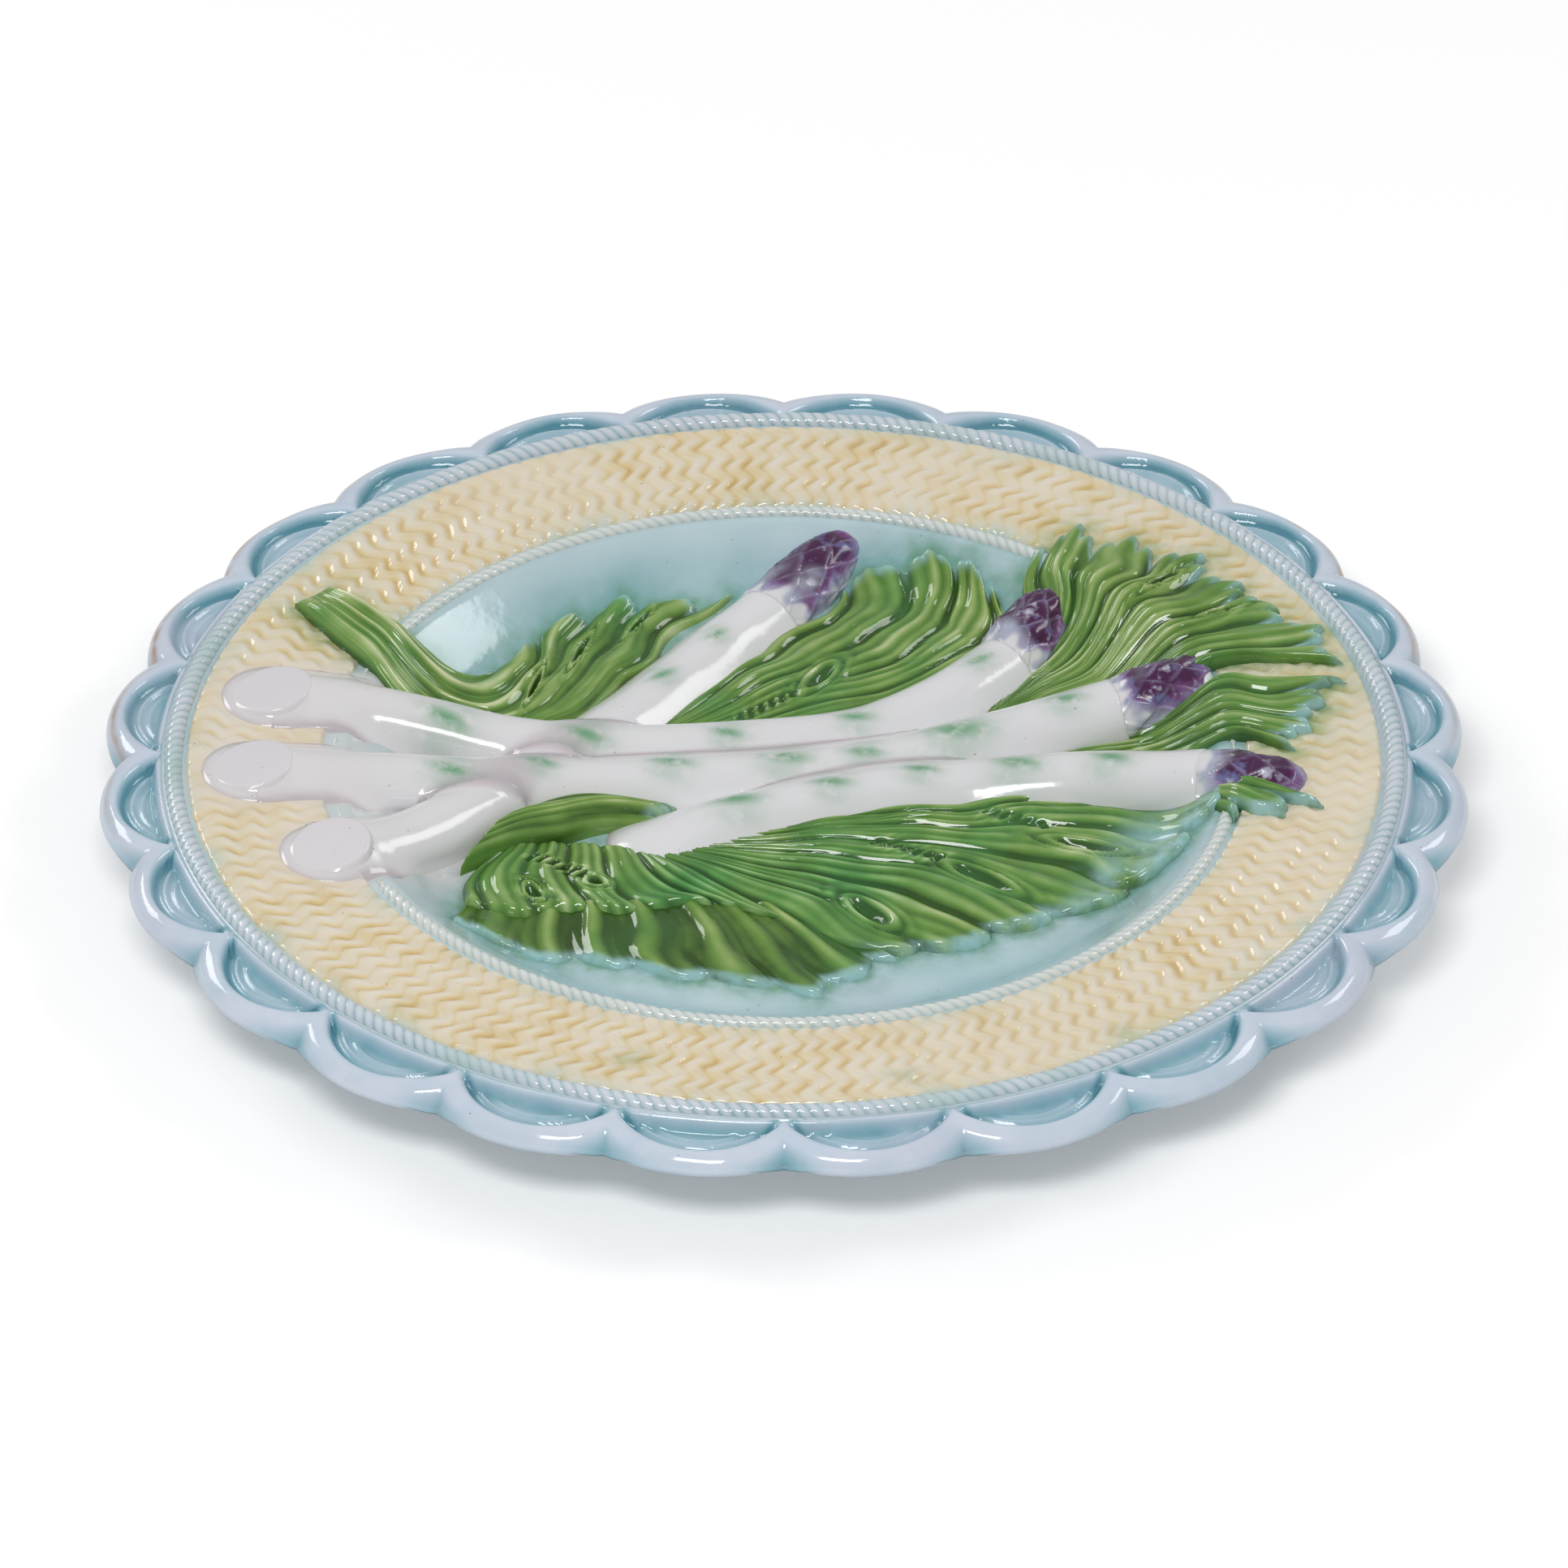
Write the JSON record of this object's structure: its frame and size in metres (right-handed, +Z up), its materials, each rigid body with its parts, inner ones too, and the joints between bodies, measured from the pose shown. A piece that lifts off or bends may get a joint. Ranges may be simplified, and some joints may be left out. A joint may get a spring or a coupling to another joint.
{
  "type": "asparagus plate",
  "caption": "Round glazed earthenware serving plate with asparagus spears and leaves in relief, a basketweave rim between rope borders and a scalloped edge.",
  "frame": {"origin": "centre of the foot ring's flat underside, on the plate's axis", "axes": "+Z up out of the well; +X from the cut ends of the stalks towards their tips; +Y towards the side with the stemmed leaf"},
  "size_m": [0.24, 0.24, 0.0226],
  "materials": {
    "blue_glaze": "pale blue glossy glaze",
    "edge_glaze": "pale blue-lilac glossy glaze, turquoise where it pools",
    "cream_glaze": "cream glossy glaze, yellow ochre in the recesses",
    "stalk_glaze": "white glossy glaze tinted pink-lilac, with small green dabs",
    "tip_glaze": "purple glossy glaze, lavender on the scale edges",
    "leaf_glaze": "green glossy glaze, dark in the grooves and pale on the crests"
  },
  "bodies": {
    "root": {"plate_body": "blue_glaze", "scalloped_edge": "edge_glaze", "outer_rope": "edge_glaze", "inner_rope": "cream_glaze", "basketweave_band": "cream_glaze", "stalk_1": "stalk_glaze", "stalk_2": "stalk_glaze", "stalk_3": "stalk_glaze", "stalk_4": "stalk_glaze", "tip_1": "tip_glaze", "tip_2": "tip_glaze", "tip_3": "tip_glaze", "tip_4": "tip_glaze", "hook_leaf": "leaf_glaze", "large_leaf": "leaf_glaze", "large_leaf_fringe": "leaf_glaze", "stem_leaf": "leaf_glaze", "middle_leaf": "leaf_glaze", "fan_leaf": "leaf_glaze", "fan_leaf_lower": "leaf_glaze", "small_leaf": "leaf_glaze"}
  },
  "joints": []
}
